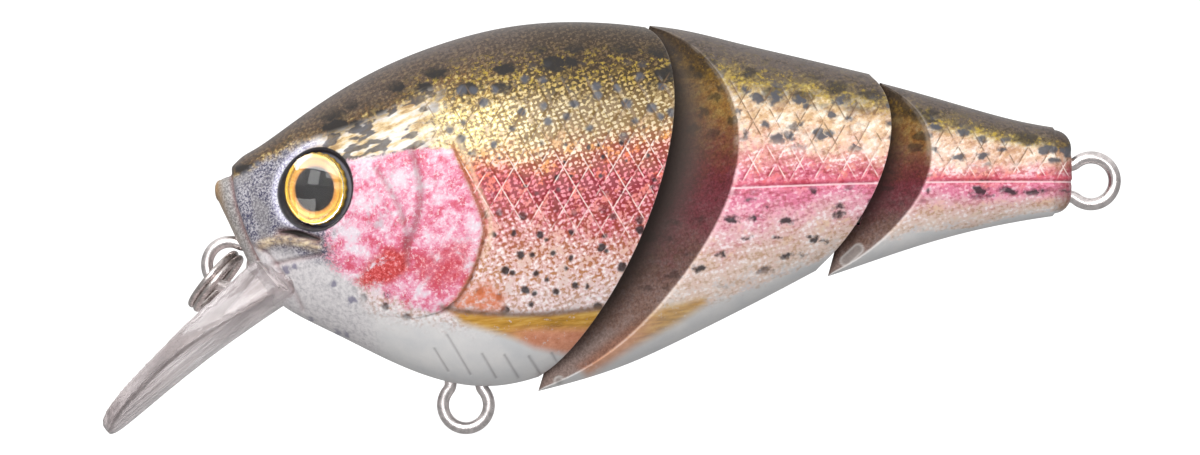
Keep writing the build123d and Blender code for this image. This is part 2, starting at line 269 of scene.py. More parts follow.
# Heights of the paint's boundaries along the side.
EDGES = {
    "head": {
        "peach": [(-1, 3.6), (4, 1.6), (7, 0.2), (10, -1.4), (13, -3.2), (17, -4.8), (22, -4.7), (26.7, -4.9),
                  (42, -4)],
        "pink": [(-1, 5), (10, 4), (24.8, 4.4), (31.4, 3.8), (42, 3.6)],
        "gold": [(-1, 7), (10, 9.3), (22, 9.8), (29.5, 10.2), (35.2, 11.2), (42, 12.2)],
        "back": [(-1, 7.9), (1.4, 8.7), (3.9, 10.5), (6.4, 11.7), (9.3, 12.3), (12.2, 13.2), (14.7, 14.3),
                 (16.9, 15.5), (18.3, 16.4), (22, 17.4), (27.7, 18.1), (33.3, 18.3), (42, 18.7)]},
    "mid": {
        "peach": [(34, -6.5), (42.2, -3.6), (46, -3.1), (51.6, -1.2), (56.3, 0.7), (64, 3.9)],
        "pink": [(34, 3), (44, 3.7), (48.8, 4.2), (55.4, 5.8), (64, 5.5)],
        "gold": [(34, 11.9), (44, 11.7), (49.3, 11.3), (56, 10.6), (64, 10.5)],
        "back": [(34, 20.3), (42, 19.3), (48.4, 17.5), (53.5, 16.8), (59.1, 15.9), (64, 15.2)]},
    "tail": {
        "peach": [(56, 0.5), (64.3, 3.2), (70, 3.6), (75.2, 4.9), (80, 5.2)],
        "pink": [(56, 4.5), (64.3, 5.7), (66.4, 6.3), (73.7, 6.2), (80, 6.7)],
        "gold": [(56, 10.8), (64.3, 10), (66.6, 9.4), (73.7, 9.2), (80, 9.7)],
        "back": [(56, 16.6), (62, 15), (65.8, 13.9), (70.5, 12.7), (73.7, 11.9), (80, 10.9)]},
}
# The band mask at the foot of the belly, at each boundary from peach to back, and on top.
BAND = (-1.0, -0.62, -0.18, 0.24, 0.72, 1.0)
# A crossing of the scale lines, and their spacing along and up.
SCALES = {"head": (36.4, 9.2, 2.33, 3.9), "mid": (58.35, 9.6, 2.2, 3.9), "tail": (72.1, 9.2, 2.2, 3.9)}
CREASES = [[(17.5, 10.6), (18.3, 7.2), (17.9, 4), (17, 1.6)], [(14.1, 9), (16, 5.9), (16.9, 3.2), (17.1, 0)]]
RED_PATCHES = [
    [(12.2, -1.5), (13.5, 0.3), (15.2, 1.7), (17, 1.2), (17.3, -0.5), (15.5, -1.7), (13, -2.2)],
    [(17.8, 0.8), (19.5, 1.2), (21.5, 2.3), (23, 2.2), (22.8, -0.5), (21.6, -1.8), (19, -2), (17.8, -0.9)]]
FIN_TOP = [(20.4, -3.9), (22, -4.3), (26.7, -4.65), (31, -4.5), (35.4, -4), (37.5, -3.7)]
FIN = [(21, -4.3), (22, -4.4), (26.7, -4.75), (31, -4.6), (35.4, -4.1), (38, -3.8), (38, -8.4), (33, -8.6),
       (31.4, -8.4), (29, -7.9), (27, -7), (24.8, -6.3), (22.2, -5.6)]
FIN_TIP = [(33, -9.5), (38, -5.5), (41, -3.9), (45, -3), (45.2, -3.6), (42.5, -5.4), (38.5, -7.6), (34, -10.5)]
BLUSH = [(20.6, -4.2), (22.6, -2.4), (24.6, -1.4), (26.4, -3.2), (25.6, -4.5)]
BELLY_LINES = [[(19.6, -7.9), (20.9, -10)], [(20.8, -6.6), (23, -10.3)], [(24.1, -8.4), (25.4, -10.6)],
               [(26.2, -8.5), (27.5, -10.6)], [(28.5, -8.6), (29.6, -10.3)], [(30.6, -8.3), (31.2, -9.2)]]
NOSE_BAND = [(0.2, 9), (0.45, 7.6), (0.8, 5.6), (1.9, 2.4), (3, 0.2)]
NOSE_STRIPE = [(-0.75, 7.8), (-0.55, 6.4), (0, 4.4), (0.9, 2.2)]
MOUTH = [(5, 3.05), (6.2, 3.05), (7.5, 2.75), (8.6, 2.35)]
JAW_RIDGE = [(3.5, 1.9), (4.6, 2.3), (5.8, 2.4), (7, 2.2), (8.6, 1.8)]
JAW_CREASE = [(4.6, 0), (5.6, 0.25), (7, 0.55), (8.9, 0.9)]
CHIN_CREASE = [(2.6, 1.8), (3.8, 1.2), (4.6, 0.1), (5.3, -0.9), (6.4, -2.6), (7.2, -4.2)]
# Points along the end of a hinge pin in the lower tip of a wedge, and the radii of its rim and its face.
PIN_ENDS = {
    "mid": ([(31.3, -10.9), (31.3, -10.9)], 0.42, 0.3),
    "tail": ([(58.2, 0.4), (59.4, 1.5)], 0.45, 0.32),
}
# The lateral line: where it is measured from, its height there, its rise and its sag.
LATERAL_FROM, LATERAL_HEIGHT, LATERAL_RISE, LATERAL_SAG = 48.9, 7.25, 0.045, 0.0009


def scale_lines(kind, a, b):
    """Distance to the nearest line of the two slanting families that cut the scales."""
    at_a, at_b, across, tall = SCALES[kind]
    best = np.full(a.shape, np.inf)
    for sign in (1, -1):
        phase = (a - at_a) / across + sign * (b - at_b) / tall
        best = np.minimum(best, np.abs(phase - np.round(phase)))
    return best / math.hypot(1 / across, 1 / tall)


def eye_local(x, y, z):
    """Position in the plane of the eye: forward-back, up, and out from the cheek."""
    dx, dy = x - EYE_CENTRE[0], np.abs(y) - EYE_CENTRE[1]
    c, s = math.cos(EYE_TURN), math.sin(EYE_TURN)
    return dx * c + dy * s, z - EYE_CENTRE[2], -dx * s + dy * c


def eye_place(across, up, out):
    c, s = math.cos(EYE_TURN), math.sin(EYE_TURN)
    return EYE_CENTRE[0] + (across * c - out * s), -(EYE_CENTRE[1] + (across * s + out * c)), EYE_CENTRE[2] + up


def level(kind, name, a):
    return np.interp(a, *np.array(EDGES[kind][name], float).T)


def shifted(points, along):
    return [(p + along, q) for p, q in points]


def head_relief(a, b):
    to_edge = line_distance(a, b, GILL_LINE)
    cover = inside(a, b, GILL_COVER)
    lift = np.where(cover, 0.3 * np.exp(-to_edge / 2.6), 0) * smoothstep(9, 13, a)
    lift = (lift - np.where(cover, 0, 0.2 * bell(to_edge, 0.45))) * smoothstep(-5.6, -3.2, b)
    strokes = [
        (CREASES[0], -0.17, 0.35), (shifted(CREASES[0], -0.8), 0.1, 0.6),
        (CREASES[1], -0.12, 0.35), (shifted(CREASES[1], -0.8), 0.1, 0.6),
        (NOSE_BAND, -0.36, 0.3), (shifted(NOSE_BAND, 0.75), 0.14, 0.45), (NOSE_STRIPE, 0.2, 0.5),
        (MOUTH, -0.5, 0.34), (JAW_RIDGE, 0.3, 0.55), (JAW_CREASE, -0.22, 0.26), (CHIN_CREASE, -0.16, 0.22)]
    strokes += [(line, -0.08, 0.1) for line in BELLY_LINES]
    for points, height, width in strokes:
        lift = lift + height * stroke(a, b, points, width)
    return lift


def skin_relief(kind, a, b):
    """Height of the moulded relief, and a mask of where the scale lines are cut."""
    top = level(kind, "back", a)
    if kind == "head":
        shown = smoothstep(17, 20, a) * smoothstep(1.5, 5.5, b + 0.1 * (a - 30))
        shown = shown * (1 - smoothstep(top - 1.4, top - 0.2, b)) * np.where(inside(a, b, GILL_COVER), 0, 1)
        base = head_relief(a, b)
    else:
        back = a - LATERAL_FROM
        above = b - (LATERAL_HEIGHT + back * LATERAL_RISE - LATERAL_SAG * back**2)
        shown = smoothstep(0, 1.2, above) * (1 - smoothstep(top - 1, top + 0.4, b))
        base = -0.12 * bell(above, 0.2) + 0.05 * bell(above - 0.35, 0.25)
    return base - 0.09 * bell(scale_lines(kind, a, b), 0.13) * shown, shown


def paint_masks(kind, a, b, x, y, z, form):
    """Per-vertex masks that place the paint. Colour, mottling and spots come from the material."""
    def line(points, width):
        return stroke(a, b, points, width)

    levels = [level(kind, name, a) for name in EDGES[kind]]
    levels = [np.minimum(form.low(x), levels[0] - 0.4)] + levels + [np.maximum(form.high(x), levels[-1] + 0.3)]
    band = np.full(a.shape, BAND[0])
    for low, high, rise in zip(levels[:-1], levels[1:], np.diff(BAND)):
        band = band + rise * np.clip((b - low) / np.maximum(high - low, 0.05), 0, 1)
    masks = {"band": band, "lay_a": a, "lay_b": b}
    if kind != "head":
        points, edge, end = PIN_ENDS[kind]
        away = line_distance(a, b, points)
        masks["pin_edge"] = bell(away - edge, 0.1)
        masks["pin_end"] = smoothstep(edge, end, away)
        if kind == "mid":
            masks["fin"] = 0.85 * region(a, b, FIN_TIP, 0.55)
            masks["fin_rust"] = 0.8 * (1 - smoothstep(37, 42, a))
        return masks
    to_edge = line_distance(a, b, GILL_LINE)
    cover = inside(a, b, GILL_COVER)
    masks["cheek"] = region(a, b, CHEEK, 0.55) * np.maximum(
        smoothstep(6.8, 12.2, a), smoothstep(2.8, 4.6, b)) * smoothstep(-3.8, 0.4, b + 0.45 * (a - 12))
    masks["gill_rim"] = bell(to_edge, np.where(cover, 0.3, 0.14)) * smoothstep(-4.9, -2.7, b)
    masks["gill_glint"] = np.where(cover, 0, bell(to_edge - 0.55, 0.28)) * smoothstep(-1, 3, b)
    masks["red"] = np.maximum(region(a, b, RED_PATCHES[0], 0.5), 0.55 * region(a, b, RED_PATCHES[1], 0.7))
    masks["snout"] = 1 - smoothstep(10.2, 12.8, a + 0.3 * (b - 2))
    masks["chin"] = 1 - smoothstep(0.2, 1.8, b + 0.22 * (a - 6))
    top = level(kind, "back", a)
    masks["streak"] = smoothstep(5.5, 9, a) * (1 - smoothstep(17, 22, a)) * smoothstep(
        8.6, 9.8, b - 0.1 * (a - 10)) * (1 - smoothstep(top - 0.9, top + 0.3, b))
    masks["fin"] = np.minimum(region(a, b, FIN, 0.28), region(a, b - 0.15, FIN, 0.5))
    masks["fin_line"] = line(FIN_TOP, 0.3)
    masks["fin_rust"] = smoothstep(-5.4, -6.6, b) * smoothstep(25, 29, a)
    masks["blush"] = region(a, b, BLUSH, 0.9)
    # painted shade along the moulded creases, mouth, jaw, chin and nose-band grooves
    masks["crease"] = np.clip(
        line(CREASES[0], 0.34) + 0.8 * line(CREASES[1], 0.3) + line(MOUTH, 0.34) + 0.6 * line(JAW_CREASE, 0.26)
        + 0.5 * line(CHIN_CREASE, 0.22) + 0.9 * line(NOSE_BAND, 0.2), 0, 1)
    # where the painted shade of the mouth slit goes
    masks["mouth"] = smoothstep(0.42, 0.2, line_distance(a, b, smooth_line(MOUTH)) + 0.12 * np.abs(a - 6.9))
    masks["nose_band"] = inside(a, b, np.array([(-3, 9.2)] + NOSE_BAND + [(-3, 0)]))
    masks["nose_stripe"] = line(NOSE_STRIPE, 0.38)
    masks["jaw"] = line(JAW_RIDGE, 0.5)
    masks["engraved"] = np.max([line(points, 0.09) for points in BELLY_LINES], axis=0)
    across, up, _ = eye_local(x, y, z)
    away = np.hypot(across, up)
    # where the painted shade of the sunken eye socket goes
    masks["socket"] = np.interp(away, [3.25, 3.45, 3.85, 4.0], [1.0, 0.6, 0.3, 0.0])
    masks["lid"] = bell(away - 4.25, 0.42) * smoothstep(1.2, -1.6, across) * smoothstep(-4.2, -2.8, up)
    return masks


# ---- shell halves
def half_grid(form, front, rear, rows, skin_columns, wall_columns):
    """Points and wall depth of the near half of a section, by row round it and column from the front."""
    theta = np.linspace(-math.pi / 2, math.pi / 2, rows + 1)
    start = form.edge(front, theta) if front else np.full(theta.shape, NOSE_X)
    stop = form.edge(rear, theta) if rear else np.full(theta.shape, TAIL_X - TAIL_END_ROUND)
    fine = np.arange(EDGE_STEPS) * EDGE_STEP / float(np.max(stop - start))
    shares = np.concatenate([fine, np.linspace(fine[-1], 1 - fine[-1], skin_columns)[1:-1], 1 - fine[::-1]])
    skin = [(*form.point(start + (stop - start) * share, theta), 0 * theta) for share in shares]
    if front:
        before = flare_wall(front, skin[0][:3], wall_columns)
    else:
        x, y, z, _ = skin[0]
        middle = float(form.low(NOSE_X) + form.high(NOSE_X)) / 2
        before = []
        for turn in np.linspace(0, math.pi / 2, NOSE_RINGS + 1)[1:]:
            f = math.cos(turn)
            before.append((x - NOSE_BULGE * math.sin(turn), y * f, middle + (z - middle) * f, 0 * x))
    if rear:
        after = flare_wall(rear, skin[-1][:3], wall_columns)
    else:
        low, high, half = (float(f(TAIL_X)) for f in (form.low, form.high, form.half))
        middle = (low + high) / 2
        after = []
        for turn in np.linspace(0, math.pi / 2, TAIL_RINGS + 1)[1:]:
            drop = TAIL_END_ROUND * (1 - math.cos(turn))
            x = np.full(theta.shape, TAIL_X - TAIL_END_ROUND + TAIL_END_ROUND * math.sin(turn))
            after.append((x, -(half - drop) * np.cos(theta), middle + ((high - low) / 2 - drop) * np.sin(theta),
                          0 * theta))
        x, y, z, _ = after[-1]
        after += [(x, y * f, middle + (z - middle) * f, 0 * theta) for f in (0.75, 0.5, 0.25, 0)]
    grid = np.array(before[::-1] + skin + after).transpose(2, 0, 1)
    first = len(before)
    return grid[..., :3], first, first + len(skin) - 1, grid[..., 3]


def shaped_half(kind, front, rear, *counts):
    form = Form(STATIONS[kind])
    grid, first, last, wall = half_grid(form, front, rear, *counts)
    normal = np.cross(np.gradient(grid, axis=0), np.gradient(grid, axis=1))
    normal = normal / np.maximum(np.linalg.norm(normal, axis=2, keepdims=True), 1e-12)
    x, y, z = np.moveaxis(grid, 2, 0)
    if np.mean((normal * np.stack([0 * x, y, z - 6], -1))[:, first:last].sum(-1)) < 0:
        normal = -normal
    a, b = side_layout(x, y, z)
    relief, lines = skin_relief(kind, a, b)
    masks = paint_masks(kind, a, b, x, y, z, form)
    step = np.linalg.norm(np.diff(grid, axis=1), axis=2)
    reach = np.concatenate([np.zeros((len(grid), 1)), np.cumsum(step, axis=1)], axis=1)
    from_front = reach - reach[:, first:first + 1]
    from_rear = reach[:, last:last + 1] - reach
    # rim: a painted highlight along the shoulder edges of the hinge walls, and a second one just inside the top
    # of a front wall
    on_skin, rim_highlight = np.ones(x.shape), np.zeros(x.shape)
    if front:
        on_skin *= smoothstep(0.05, 0.6, from_front)
        rim_highlight = np.maximum(bell(from_front, 0.17), 0.9 * bell(from_front + 0.42, 0.26) * smoothstep(8.5, 12, b))
    if rear:
        on_skin *= smoothstep(0.05, 0.6, from_rear)
        rim_highlight = np.maximum(rim_highlight, bell(from_rear, 0.17))
    seam = -0.09 * bell(y, 0.1)
    grid = grid + normal * (relief * on_skin + seam * (wall < 1e-6))[..., None]
    if kind == "head":
        across, up, out = eye_local(*np.moveaxis(grid, 2, 0))
        radius = np.hypot(across, up)
        floor = np.minimum(out, SOCKET_FLOOR)
        lip = 0.16 * bell(radius - 4.25, 0.32)
        sunk = floor + (out + lip - floor) * smoothstep(3.4, 3.78, radius)
        moved = np.stack(eye_place(across, up, sunk), -1)
        grid = np.where(((radius < 6) & (y < -1))[..., None], moved, grid)
    for index, spec in ((first, front), (last, rear)):
        if spec:
            part = grid[:, index - EDGE_STEPS + 1:index + EDGE_STEPS]
            for _ in range(EDGE_SMOOTHINGS):
                part[:, 1:-1] = (part[:, :-2] + 2 * part[:, 1:-1] + part[:, 2:]) / 4
    grid[[0, -1], :, 1] = 0
    if front:
        grid[:, 0, 1] = 0
    if rear:
        grid[:, -1, 1] = 0
    masks["scales"] = lines * on_skin
    # wall and deep: where the hinge walls get their painted shade, darkest far in from the edge
    masks["wall"] = smoothstep(0, 0.35, wall)
    masks["deep_shade"] = smoothstep(1.6, 6.6, wall)
    masks["rim_highlight"] = rim_highlight
    return grid, masks


@contextlib.contextmanager
def editing(mesh):
    bm = bmesh.new()
    bm.from_mesh(mesh)
    yield bm
    bm.to_mesh(mesh)
    bm.free()


def new_mesh(name, points, faces):
    mesh = bpy.data.meshes.new(name)
    mesh.from_pydata(points, [], faces)
    return mesh


def smooth(mesh):
    mesh.polygons.foreach_set("use_smooth", [True] * len(mesh.polygons))


def shown_object(name, data):
    obj = bpy.data.objects.new(name, data)
    bpy.context.scene.collection.objects.link(obj)
    return obj


def half_mesh(name, grid, masks, side):
    rows, columns = grid.shape[:2]
    points = grid.reshape(-1, 3) * MM * np.array([1, -side, 1])
    index = np.arange(rows * columns).reshape(rows, columns)
    quads = np.stack([index[:-1, :-1], index[1:, :-1], index[1:, 1:], index[:-1, 1:]], -1).reshape(-1, 4)
    mesh = new_mesh(name, points.tolist(), quads[:, ::-side].tolist())
    for key, values in masks.items():
        layer = mesh.attributes.new(key, "FLOAT", "POINT")
        layer.data.foreach_set("value", values.astype(np.float32).ravel())
    smooth(mesh)
    with editing(mesh) as bm:
        bmesh.ops.remove_doubles(bm, verts=bm.verts, dist=2e-7)
        bmesh.ops.dissolve_degenerate(bm, edges=bm.edges, dist=1e-8)
        open_edges = [edge for edge in bm.edges if len(edge.link_faces) == 1]
        for face in bmesh.ops.holes_fill(bm, edges=open_edges, sides=0)["faces"]:
            face.smooth = False
            for edge in face.edges:
                edge.smooth = False
        bmesh.ops.recalc_face_normals(bm, faces=bm.faces)
    return shown_object(name, mesh)


def slot_cutter(hinge, depth, heights):
    """Boxes that cut the slots a hinge's tabs turn in, with masks that give the cut faces the painted shade of
    the hinge walls.
    """
    verts, faces = [], []
    for height in heights:
        first = len(verts)
        for u in (-6, depth):
            for v in (-depth - 0.1, depth + 0.1):
                for w in (height - SLOT_HALF_HEIGHT, height + SLOT_HALF_HEIGHT):
                    verts.append([MM * value for value in from_hinge(hinge, u, v, w)])
        for face in ((0, 1, 3, 2), (4, 6, 7, 5), (0, 4, 5, 1), (2, 3, 7, 6), (0, 2, 6, 4), (1, 5, 7, 3)):
            faces.append([first + k for k in face])
    mesh = new_mesh(hinge + "_slots", verts, faces)
    # the cut faces take the painted shade of the hinge walls
    for key in ("wall", "deep_shade"):
        mesh.attributes.new(key, "FLOAT", "POINT").data.foreach_set("value", [1.0] * len(verts))
    with editing(mesh) as bm:
        bmesh.ops.recalc_face_normals(bm, faces=bm.faces)
    return shown_object(hinge + "_slots", mesh)


def cut_slots(piece, cutter):
    change = piece.modifiers.new("slots", "BOOLEAN")
    change.operation = "DIFFERENCE"
    change.solver = "MANIFOLD"
    change.object = cutter
    mesh = bpy.data.meshes.new_from_object(piece.evaluated_get(bpy.context.evaluated_depsgraph_get()))
    piece.modifiers.remove(change)
    bpy.data.objects.remove(cutter)
    with editing(mesh) as bm:
        for edge in bm.edges:
            if len(edge.link_faces) == 2 and edge.calc_face_angle() > SHARP:
                edge.smooth = False
    piece.data = mesh


# ---- materials
class Wire:
    """A value in a node tree, for sums and products."""

    def __init__(self, net, socket):
        self.net, self.socket = net, socket

    def __add__(self, other):
        return self.net.math("ADD", self, other)

    def __sub__(self, other):
        return self.net.math("SUBTRACT", self, other)

    def __rsub__(self, other):
        return self.net.math("SUBTRACT", other, self)

    def __mul__(self, other):
        return self.net.math("MULTIPLY", self, other)

    def line(self, slope, offset):
        return self.net.math("MULTIPLY_ADD", self, slope, offset)

    def step(self, low, high):
        """0 at low and 1 at high, smooth between; low above high turns it round."""
        node = self.net.add("ShaderNodeMapRange", interpolation_type="SMOOTHSTEP")
        turned = low > high
        for socket, value in zip(node.inputs, (self, min(low, high), max(low, high), turned, not turned)):
            self.net.put(socket, value)
        return Wire(self.net, node.outputs["Result"])

    def zone(self, a, b, c, d):
        return self.step(a, b) * self.step(c, d)

    def times(self, tone):
        return self.net.mix(1.0, self, tone, "MULTIPLY")

    def ramp(self, *stops):
        """A colour ramp. Stops: place, red, green and blue, in hundredths."""
        node = self.net.add("ShaderNodeValToRGB")
        elements = node.color_ramp.elements
        while len(elements) < len(stops):
            elements.new(0.5)
        for element, stop in zip(elements, stops):
            element.position = stop[0] / 100
        for element, stop in zip(elements, stops):
            element.color = [part / 100 for part in stop[1:]] + [1]
        self.net.put(node.inputs["Fac"], self)
        return Wire(self.net, node.outputs["Color"])


class Net:
    """A short way to write a node tree. Its colour is the paint so far."""

    def __init__(self, name):
        self.material = bpy.data.materials.new(name)
        self.material.use_nodes = True
        self.tree = self.material.node_tree
        self.shader = self.tree.nodes["Principled BSDF"]
        self.coords = Wire(self, self.add("ShaderNodeTexCoord").outputs["Object"])
        self.colour = None

    def add(self, kind, **values):
        node = self.tree.nodes.new(kind)
        for key, value in values.items():
            setattr(node, key, value)
        return node

    def put(self, socket, value):
        if isinstance(value, Wire):
            self.tree.links.new(value.socket, socket)
        elif socket.type == "RGBA" and len(value) == 3:
            socket.default_value = (*value, 1)
        else:
            socket.default_value = value

    def set(self, **values):
        """Set or link the shader's sockets, and hand back the material."""
        for key, value in values.items():
            self.put(self.shader.inputs[key.replace("_", " ")], value)
        return self.material

    def mask(self, name):
        return Wire(self, self.add("ShaderNodeAttribute", attribute_name=name).outputs["Fac"])

    def math(self, operation, *values):
        node = self.add("ShaderNodeMath", operation=operation)
        for socket, value in zip(node.inputs, values):
            self.put(socket, value)
        return Wire(self, node.outputs[0])

    def mix(self, factor, a, b, blend="MIX"):
        node = self.add("ShaderNodeMix", data_type="RGBA", blend_type=blend)
        self.put(node.inputs["Factor"], factor)
        for socket, value in zip([s for s in node.inputs if s.type == "RGBA"], (a, b)):
            self.put(socket, value)
        return Wire(self, next(s for s in node.outputs if s.type == "RGBA"))

    def paint(self, factor, tone):
        self.colour = self.mix(factor, self.colour, tone)

    def axis(self, vector, name):
        node = self.add("ShaderNodeSeparateXYZ")
        self.put(node.inputs[0], vector)
        return Wire(self, node.outputs[name])

    def stretched(self, x=1.0, y=1.0, z=1.0, turn=0.0, shift=(0, 0, 0)):
        """Coordinates drawn out along x, y or z where its number is below 1, after a turn about Y."""
        node = self.add("ShaderNodeMapping", vector_type="TEXTURE")
        self.put(node.inputs["Vector"], self.coords)
        node.inputs["Scale"].default_value = (1 / x, 1 / y, 1 / z)
        node.inputs["Rotation"].default_value = (0, turn, 0)
        node.inputs["Location"].default_value = shift
        return Wire(self, node.outputs["Vector"])

    def noise(self, size, detail=3, rough=0.5, where=None):
        """Soft noise whose lumps are about size millimetres."""
        node = self.add("ShaderNodeTexNoise")
        self.put(node.inputs["Vector"], where or self.coords)
        node.inputs["Scale"].default_value = 1000 / size
        node.inputs["Detail"].default_value = detail
        node.inputs["Roughness"].default_value = rough
        return Wire(self, node.outputs["Fac"])

    def bump(self, height, strength, distance):
        node = self.add("ShaderNodeBump")
        self.put(node.inputs["Height"], height)
        node.inputs["Strength"].default_value = strength
        node.inputs["Distance"].default_value = distance
        self.put(self.shader.inputs["Normal"], Wire(self, node.outputs["Normal"]))


def spots(net, size, radius, vary, keep, soft, stretch, shift, ragged):
    """One spot to a cell of the side layout, of varied size, some cells left empty, with ragged rims."""
    flat = net.add("ShaderNodeCombineXYZ")
    wander = net.noise(0.6, 2) - 0.5
    net.put(flat.inputs[0], (net.mask("lay_a") + shift) * stretch + wander * ragged)
    wander = net.noise(0.9, 2, 0.5, net.stretched(shift=(0.07, 0.02, 0.05))) - 0.5
    net.put(flat.inputs[1], net.mask("lay_b") + wander * ragged)
    node = net.add("ShaderNodeTexVoronoi", voronoi_dimensions="2D")
    net.put(node.inputs["Vector"], Wire(net, flat.outputs[0]))
    node.inputs["Scale"].default_value = 1 / size
    split = net.add("ShaderNodeSeparateColor")
    net.put(split.inputs[0], Wire(net, node.outputs["Color"]))
    inner = Wire(net, split.outputs[0]).line(vary, radius) - Wire(net, node.outputs["Distance"])
    return inner.step(-soft, soft) * Wire(net, split.outputs[1]).step(1 - keep - 0.01, 1 - keep + 0.01)


def dot_rows(net):
    """Rows of small bright dots on the side layout, rising to the rear, with dark gaps between."""
    a, b = net.mask("lay_a"), net.mask("lay_b")
    wander = (net.noise(1.6, 3) - 0.5) * 1.6
    along = a * (0.94 / 0.56) + b * (0.34 / 0.56) + wander
    up = b * (0.94 / 0.44) - a * (0.34 / 0.44) + wander
    waves = [net.math("SINE", value * (2 * math.pi)) * 0.5 + 0.5 for value in (along, up)]
    return waves[0] * waves[1]


def scale_cut(net, kind):
    """The thin slanting lines cut between the scales."""
    at_a, at_b, across, tall = SCALES[kind]
    a = net.mask("lay_a").line(1 / across, -at_a / across)
    b = net.mask("lay_b").line(1 / tall, -at_b / tall)
    spacing = 1 / math.hypot(1 / across, 1 / tall)
    near = [net.math("ABSOLUTE", phase - net.math("ROUND", phase)) * spacing for phase in (a + b, a - b)]
    return net.math("MINIMUM", *near)


# Ramps run over the band: 0 belly, 19 peach edge, 41 pink edge, 62 gold edge, 86 back edge, 100 back.
PAINTS = {
    "head": {
        "base": [(0, 58, 57, 57), (17, 68, 64, 65), (21, 78, 60, 60), (34, 70, 42, 39), (42, 58, 14, 17),
                 (50, 50, 5, 8.5), (57, 56, 10, 8), (62, 74, 38, 18), (68, 100, 80, 35), (75, 94, 72, 26),
                 (80, 44, 28, 8), (85.5, 15, 8, 3), (90, 10, 6.2, 3.8), (100, 10.5, 8.1, 7.4)],
        "light": [(0, 68, 67, 67), (20, 88, 82, 81), (36, 92, 80, 78), (46, 78, 34, 39), (55, 76, 24, 29),
                  (63, 95, 80, 63), (74, 100, 95, 81), (82, 80, 62, 22), (88, 20, 14, 7), (100, 11, 9, 8)],
        "dark": [(0, 50, 49, 49), (17, 54, 42, 38), (28, 46, 20, 8), (40, 32, 6, 3.5), (52, 24, 1.5, 3),
                 (60, 26, 5, 2), (68, 33, 21, 10), (76, 23, 15, 6.5), (82, 7, 5, 2), (90, 6, 4.2, 3),
                 (100, 6.5, 5, 4.5)],
        "third": [(0, 54, 53, 54), (20, 70, 60, 60), (34, 72, 46, 36), (44, 74, 28, 26), (55, 76, 16, 9),
                  (62, 86, 40, 10), (70, 70, 52, 36), (78, 52, 40, 22), (84, 20, 14, 5), (90, 9, 6.5, 4.5),
                  (100, 7.5, 5.8, 5.2)]},
    "rear": {
        "base": [(0, 64, 62, 62), (16, 72, 66, 64), (22, 74, 58, 50), (32, 70, 48, 44), (40, 76, 42, 47),
                 (46, 72, 22, 34), (53, 62, 14, 20), (60, 66, 26, 24), (65, 80, 54, 40), (74, 74, 54, 26),
                 (82, 40, 28, 8), (88, 14, 10, 5), (93, 10, 7.6, 6.4), (100, 10.5, 8.5, 8)],
        "light": [(0, 72, 70, 70), (20, 86, 80, 78), (38, 90, 76, 78), (52, 90, 46, 56), (62, 95, 80, 76),
                  (74, 98, 90, 70), (84, 52, 40, 10), (90, 18, 14, 8), (100, 11, 9, 8)],
        "dark": [(0, 52, 50, 50), (17, 56, 45, 38), (28, 50, 30, 18), (40, 54, 20, 24), (52, 36, 3, 6),
                 (62, 40, 13, 7), (72, 32, 20, 7), (82, 12, 8.5, 3), (90, 6, 4.5, 3), (100, 6, 4.8, 4.4)],
        "third": [(0, 58, 57, 58), (20, 64, 60, 62), (32, 74, 50, 34), (44, 84, 40, 52), (54, 74, 14, 15),
                  (63, 84, 48, 34), (72, 84, 62, 24), (80, 44, 36, 24), (88, 13, 10, 5), (100, 7.5, 6, 5.5)]},
}
# Layers of spots: the last eight arguments of spots(), zone of the band, strength and tone.
GOLD_ZONE = (0.2, 0.32, 0.8, 0.66)
GREY, BLACK, SPECK = (0.075, 0.078, 0.095), (0.022, 0.02, 0.024), (0.03, 0.024, 0.028)
SPOTS = {
    "head": [((1.5, 0.07, 0.1, 0.7, 0.07, 1.0, 4.7, 0.4), (-0.1, 0.1, 0.42, 0.26), 0.95, SPECK),
             ((2.0, 0.12, 0.12, 0.85, 0.09, 0.9, 0.0, 0.35), GOLD_ZONE, 0.93, GREY),
             ((1.8, 0.11, 0.14, 0.8, 0.08, 1.0, 11.3, 0.5), (-0.02, -0.2, -0.7, -0.58), 0.92, BLACK)],
    "mid": [((1.6, 0.15, 0.19, 0.85, 0.12, 0.8, 0.0, 1.2), GOLD_ZONE, 0.93, GREY),
            ((1.6, 0.07, 0.18, 0.66, 0.12, 0.6, 5.2, 1.2), (0.02, -0.1, -0.62, -0.5), 0.92, BLACK)],
    "tail": [((1.25, 0.18, 0.24, 0.9, 0.11, 0.55, 0.0, 0.8), GOLD_ZONE, 0.93, GREY),
             ((1.3, 0.1, 0.18, 0.85, 0.13, 0.5, 7.1, 1.0), (0.16, 0.06, -0.24, -0.1), 0.92, BLACK)],
}


STREAK = 0.72
FOIL_RAYS = 46


